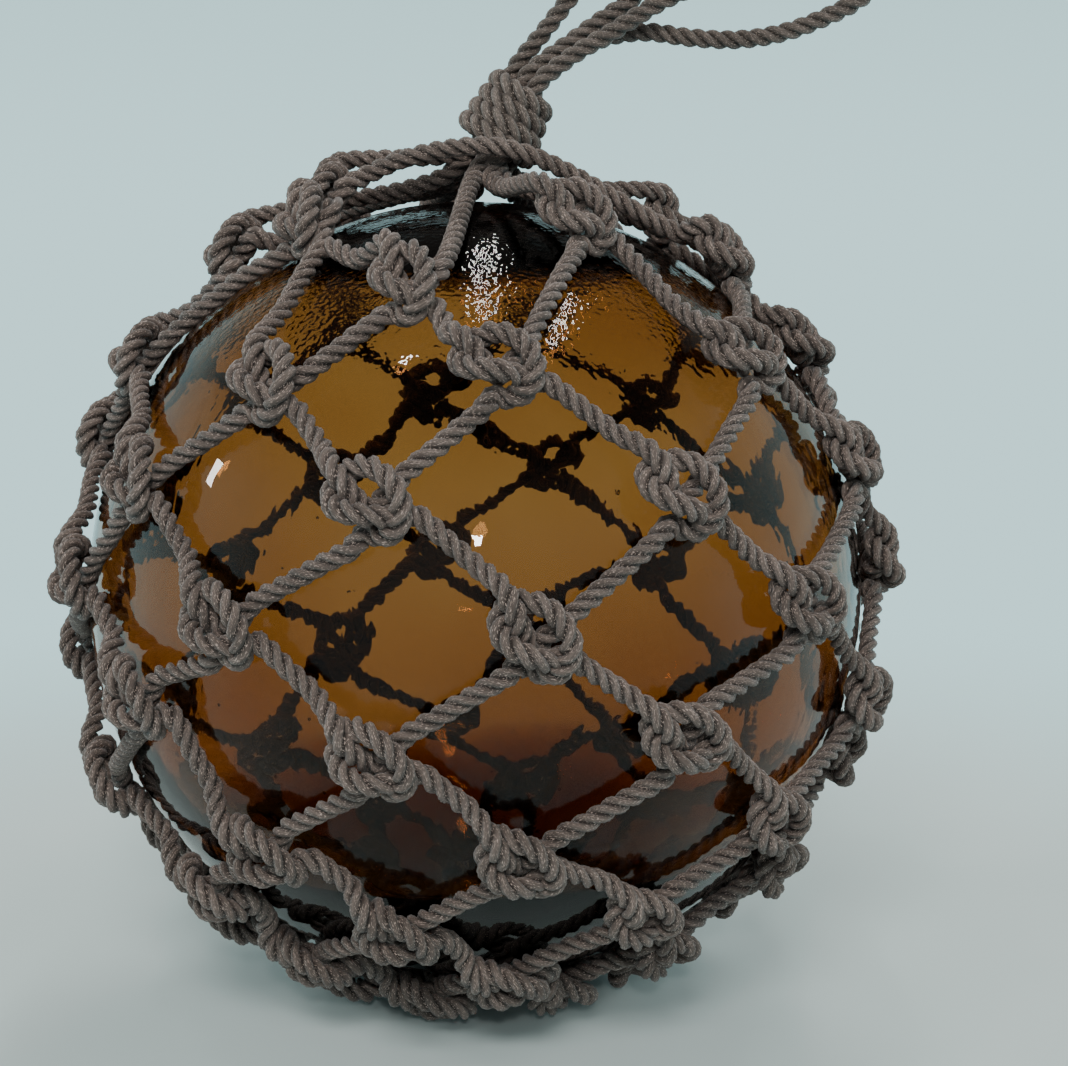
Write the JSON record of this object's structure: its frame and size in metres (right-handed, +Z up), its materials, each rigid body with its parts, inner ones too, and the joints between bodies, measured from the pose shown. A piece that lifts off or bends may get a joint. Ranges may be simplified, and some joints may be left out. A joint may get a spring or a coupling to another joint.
{
  "type": "glass net float",
  "caption": "Amber blown-glass net float: a sealed ball in a hand-knotted rope net, gathered into a lashed neck with rope loops above it.",
  "frame": {"origin": "on the surface that the net's foot knots rest on, below the ball's centre", "axes": "+Z up through the ball's poles, +Y away from the front, +X to the right, the way the loops lean"},
  "size_m": [0.3275, 0.3177, 0.4171],
  "materials": {
    "amber_glass": "clear amber blown glass, smooth, with seeds and faint swirls",
    "net_rope": "weathered taupe three-strand laid rope, dry and slightly glossy in its yarns",
    "lashing_rope": "weathered taupe three-strand laid rope, wound tight",
    "loop_rope": "weathered taupe three-strand laid rope, stiff"
  },
  "bodies": {
    "root": {"glass_ball": "amber_glass", "rope_net": "net_rope", "neck_lashing": "lashing_rope", "hanging_loop": "loop_rope", "spare_loop": "loop_rope"}
  },
  "joints": []
}
